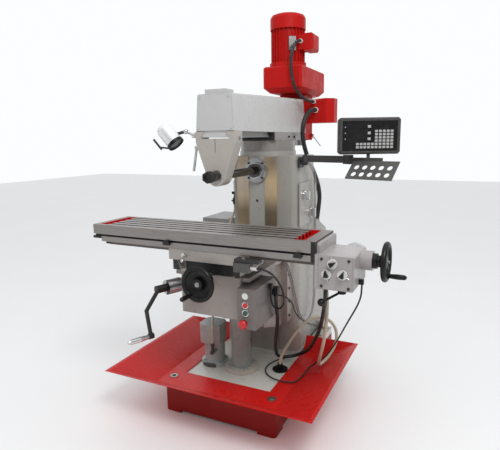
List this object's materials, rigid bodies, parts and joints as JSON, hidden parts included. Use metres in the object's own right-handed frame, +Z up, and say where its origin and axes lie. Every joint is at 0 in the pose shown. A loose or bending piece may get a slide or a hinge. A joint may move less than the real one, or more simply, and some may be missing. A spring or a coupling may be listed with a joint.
{
  "type": "universal milling machine",
  "caption": "Floor-standing knee-type milling machine with a horizontal arbor, a vertical head on the ram, slotted table, handwheels, readout, chip tray and controls.",
  "frame": {"origin": "centre of the anchor bolt pattern at floor level, under the base", "axes": "+X to the operator's right along the table, +Y from the operator to the column, +Z up"},
  "size_m": [1.4743, 1.6415, 2.066],
  "materials": {
    "grey_paint": "gloss enamel",
    "light_paint": "satin enamel",
    "beige_paint": "satin enamel",
    "red_paint": "gloss enamel",
    "dark_paint": "satin enamel",
    "plain_steel": "turned",
    "bright_steel": "polished",
    "dark_steel": "blackened",
    "ground_iron": "ground",
    "bare_iron": "as cast",
    "black_plastic": "gloss",
    "white_plastic": "gloss",
    "dark_plastic": "fine texture",
    "green_plastic": "gloss",
    "red_plastic": "gloss",
    "black_rubber": "matte",
    "grey_rubber": "matte",
    "beige_rubber": "matte"
  },
  "bodies": {
    "stand": {"machine_base": "red_paint", "chip_tray": "red_paint", "foot_fasteners": "plain_steel", "column": "grey_paint", "motor_cover": "beige_paint", "spindle_bearing_set": "plain_steel", "drive_motor": "dark_paint", "pedestal": "grey_paint", "coolant_pump": "grey_paint", "drain_strainer": "black_plastic", "cabinet": "light_paint", "dro_bracket": "dark_paint", "turret": "grey_paint", "supply_hose": "beige_rubber", "head_conduit": "black_rubber", "scale_cables": "grey_rubber", "feed_cable": "black_rubber", "return_hose": "beige_rubber"},
    "spindle": {"spindle": "plain_steel", "arbor": "dark_steel"},
    "motor_pulley": {"motor_pulley": "bare_iron"},
    "ram": {"ram": "grey_paint"},
    "arbor_support": {"arbor_support": "grey_paint"},
    "lamp_arm": {"lamp_arm": "bright_steel"},
    "lamp_head": {"lamp_head": "light_paint"},
    "head": {"vertical_head": "red_paint", "head_motor": "red_paint", "motor_cable": "black_rubber"},
    "quill": {"quill": "plain_steel"},
    "quill_lever": {"quill_lever": "bright_steel"},
    "vertical_spindle": {"vertical_spindle": "plain_steel"},
    "knee": {"knee": "grey_paint", "control_box": "light_paint", "knee_cable": "black_rubber", "feed_conduit": "black_rubber"},
    "saddle": {"saddle": "grey_paint", "limit_switch": "dark_paint", "switch_cable": "black_rubber"},
    "table": {"table": "ground_iron", "table_trim": "dark_steel", "feed_gearbox": "grey_paint"},
    "start_button": {"start_button": "white_plastic"},
    "stop_button": {"stop_button": "red_plastic"},
    "feed_button": {"feed_button": "green_plastic"},
    "emergency_button": {"emergency_button": "red_plastic"},
    "cross_wheel": {"cross_wheel": "dark_steel"},
    "knee_crank": {"knee_crank": "dark_steel"},
    "crank_handle": {"crank_handle": "bright_steel"},
    "clamp_lever": {"clamp_lever": "bright_steel"},
    "left_dial": {"left_dial": "white_plastic"},
    "centre_dial": {"centre_dial": "white_plastic"},
    "right_dial": {"right_dial": "white_plastic"},
    "feed_lever": {"feed_lever": "black_plastic"},
    "table_wheel": {"table_wheel": "dark_steel"},
    "cabinet_door": {"cabinet_door": "light_paint"},
    "upper_speed_knob": {"upper_speed_knob": "bright_steel"},
    "lower_speed_knob": {"lower_speed_knob": "bright_steel"},
    "dro_arm": {"dro_arm": "dark_paint"},
    "dro_link": {"dro_link": "dark_paint"},
    "dro_display": {"dro_display": "dark_plastic"}
  },
  "joints": [
    {"name": "knee_lift", "type": "slide", "parent": "stand", "child": "knee", "axis": [0, 0, 1], "range_m": [-0.12, 0.13], "deforming": ["feed_conduit", "knee_cable", "scale_cables", "feed_cable", "return_hose"]},
    {"name": "cross_travel", "type": "slide", "parent": "knee", "child": "saddle", "axis": [0, 1, 0], "range_m": [-0.015, 0.25], "deforming": ["switch_cable", "feed_conduit", "scale_cables", "feed_cable", "return_hose"]},
    {"name": "table_travel", "type": "slide", "parent": "saddle", "child": "table", "axis": [1, 0, 0], "range_m": [-0.225, 0.375], "deforming": ["feed_conduit", "feed_cable", "return_hose"]},
    {"name": "cross_wheel_turn", "type": "hinge", "parent": "knee", "child": "cross_wheel", "pos_m": [0, -0.52, 0.738], "axis": [0, 1, 0], "range_deg": [-1090, 18010]},
    {"name": "table_wheel_turn", "type": "hinge", "parent": "table", "child": "table_wheel", "pos_m": [0.706, -0.411, 0.867], "axis": [1, 0, 0], "range_deg": [-16210, 27010]},
    {"name": "knee_crank_turn", "type": "hinge", "parent": "knee", "child": "knee_crank", "pos_m": [-0.14672, -0.52762, 0.7], "axis": [-0.3907, -0.9205, 0], "range_deg": [-21610, 23410]},
    {"name": "crank_handle_turn", "type": "hinge", "parent": "knee_crank", "child": "crank_handle", "pos_m": [-0.21393, -0.68594, 0.495], "axis": [-0.3907, -0.9205, 0], "continuous": true},
    {"name": "spindle_turn", "type": "hinge", "parent": "stand", "child": "spindle", "pos_m": [0, 0, 1.19], "axis": [0, 1, 0], "continuous": true},
    {"name": "motor_pulley_turn", "type": "hinge", "parent": "stand", "child": "motor_pulley", "pos_m": [0, 0.265, 0.48], "axis": [0, 1, 0], "continuous": true},
    {"name": "ram_slide", "type": "slide", "parent": "stand", "child": "ram", "axis": [0, 1, 0], "range_m": [0, 0.15], "deforming": ["head_conduit"]},
    {"name": "support_slide", "type": "slide", "parent": "ram", "child": "arbor_support", "axis": [0, 1, 0], "range_m": [0, 0.12]},
    {"name": "lamp_arm_turn", "type": "hinge", "parent": "arbor_support", "child": "lamp_arm", "pos_m": [-0.107, -0.404, 1.3732], "axis": [1, 0, 0], "range_deg": [-40, 60]},
    {"name": "lamp_tilt", "type": "hinge", "parent": "lamp_arm", "child": "lamp_head", "pos_m": [-0.157, -0.41, 1.3912], "axis": [1, 0, 0], "range_deg": [-30, 40]},
    {"name": "head_tilt", "type": "hinge", "parent": "ram", "child": "head", "pos_m": [0, 0.541, 1.47], "axis": [0, 1, 0], "range_deg": [-45, 45], "deforming": ["head_conduit"]},
    {"name": "quill_feed", "type": "slide", "parent": "head", "child": "quill", "axis": [0, 0, 1], "range_m": [-0.11, 0]},
    {"name": "quill_lever_turn", "type": "hinge", "parent": "head", "child": "quill_lever", "pos_m": [0.086, 0.69, 1.37], "axis": [1, 0, 0], "range_deg": [-151, 1]},
    {"name": "vertical_spindle_turn", "type": "hinge", "parent": "quill", "child": "vertical_spindle", "pos_m": [0, 0.69, 1.311], "axis": [0, 0, 1], "continuous": true},
    {"name": "dro_arm_swing", "type": "hinge", "parent": "stand", "child": "dro_arm", "pos_m": [0.25, 0.083, 1.25], "axis": [0, 0, 1], "range_deg": [-50, 45]},
    {"name": "dro_link_swing", "type": "hinge", "parent": "dro_arm", "child": "dro_link", "pos_m": [0.50372, -0.00935, 1.25], "axis": [0, 0, 1], "range_deg": [-45, 75]},
    {"name": "dro_display_swivel", "type": "hinge", "parent": "dro_link", "child": "dro_display", "pos_m": [0.59769, -0.04355, 1.29], "axis": [0, 0, 1], "range_deg": [-60, 60]},
    {"name": "cabinet_door_swing", "type": "hinge", "parent": "stand", "child": "cabinet_door", "pos_m": [-0.3851, 0.372, 0.675], "axis": [0, 0, 1], "range_deg": [-110, 0]},
    {"name": "start_button_press", "type": "slide", "parent": "knee", "child": "start_button", "axis": [0, 1, 0], "range_m": [0, 0.004], "stiffness_N_per_m": 500},
    {"name": "stop_button_press", "type": "slide", "parent": "knee", "child": "stop_button", "axis": [0, 1, 0], "range_m": [0, 0.004], "stiffness_N_per_m": 500},
    {"name": "feed_button_press", "type": "slide", "parent": "knee", "child": "feed_button", "axis": [0, 1, 0], "range_m": [0, 0.004], "stiffness_N_per_m": 500},
    {"name": "emergency_button_press", "type": "slide", "parent": "knee", "child": "emergency_button", "axis": [0, 1, 0], "range_m": [0, 0.004], "stiffness_N_per_m": 500},
    {"name": "upper_knob_turn", "type": "hinge", "parent": "stand", "child": "upper_speed_knob", "pos_m": [0.229, 0.117, 1.055], "axis": [1, 0, 0], "range_deg": [-90, 90]},
    {"name": "lower_knob_turn", "type": "hinge", "parent": "stand", "child": "lower_speed_knob", "pos_m": [0.229, 0.219, 0.949], "axis": [1, 0, 0], "range_deg": [-90, 90]},
    {"name": "left_dial_turn", "type": "hinge", "parent": "table", "child": "left_dial", "pos_m": [0.555, -0.549, 0.832], "axis": [0, 1, 0], "range_deg": [-60, 60]},
    {"name": "centre_dial_turn", "type": "hinge", "parent": "table", "child": "centre_dial", "pos_m": [0.578, -0.549, 0.876], "axis": [0, 1, 0], "range_deg": [-60, 60]},
    {"name": "right_dial_turn", "type": "hinge", "parent": "table", "child": "right_dial", "pos_m": [0.618, -0.549, 0.836], "axis": [0, 1, 0], "range_deg": [-60, 60]},
    {"name": "feed_lever_swing", "type": "hinge", "parent": "table", "child": "feed_lever", "pos_m": [0.598, -0.478, 0.754], "axis": [0, 0, 1], "range_deg": [-25, 25]},
    {"name": "clamp_lever_turn", "type": "hinge", "parent": "saddle", "child": "clamp_lever", "pos_m": [-0.1, -0.545, 0.848], "axis": [0, 1, 0], "range_deg": [-25, 25]}
  ],
  "couplings": [
    {"joint": "cross_wheel_turn", "follows": "cross_travel", "rad_per_m": 1256.6},
    {"joint": "table_wheel_turn", "follows": "table_travel", "rad_per_m": 1256.6},
    {"joint": "knee_crank_turn", "follows": "knee_lift", "rad_per_m": 3141.6},
    {"joint": "quill_lever_turn", "follows": "quill_feed", "rad_per_m": 23.8},
    {"joint": "motor_pulley_turn", "follows": "spindle_turn", "ratio": 1.2941}
  ]
}
